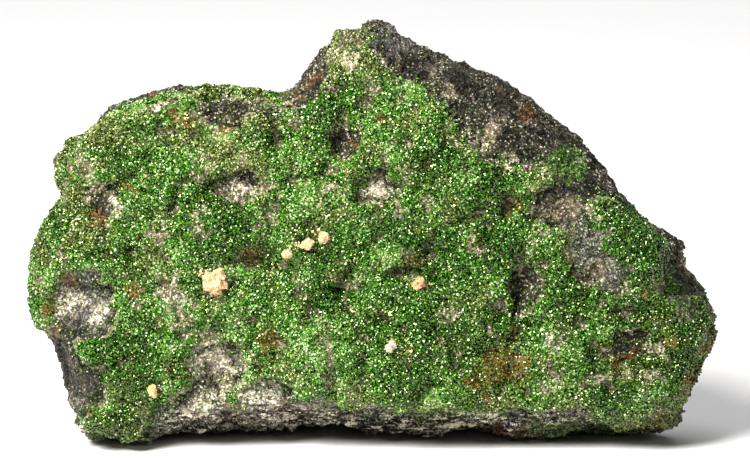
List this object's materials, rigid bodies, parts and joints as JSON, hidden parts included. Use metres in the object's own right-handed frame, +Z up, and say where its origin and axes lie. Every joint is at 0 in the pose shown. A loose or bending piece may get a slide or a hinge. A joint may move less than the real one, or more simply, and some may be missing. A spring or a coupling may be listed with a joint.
{
  "type": "uvarovite garnet specimen",
  "caption": "Free-standing mineral specimen: a druse of small green garnet crystals over the front of a broken dark rock, with pale calcite crumbs.",
  "frame": {"origin": "on the ground under the middle of the specimen's bounding box", "axes": "+X along the specimen, left to right as seen from the front, +Y to the back, +Z up; the green face looks along -Y and leans back by ten degrees"},
  "size_m": [0.1104, 0.0402, 0.0659],
  "materials": {
    "chromite_rock": "dark brown-grey granular rock, dull, with iron stains",
    "green_garnet": "fine emerald-green crystals with glassy faces that glint",
    "calcite": "cream to peach, waxy, lightly pitted"
  },
  "bodies": {
    "root": {"chromite_matrix": "chromite_rock", "uvarovite_druse": "green_garnet", "calcite_crumb_1": "calcite", "calcite_crumb_2": "calcite", "calcite_crumb_3": "calcite", "calcite_crumb_4": "calcite", "calcite_crumb_5": "calcite", "calcite_crumb_6": "calcite", "calcite_crumb_7": "calcite"}
  },
  "joints": []
}
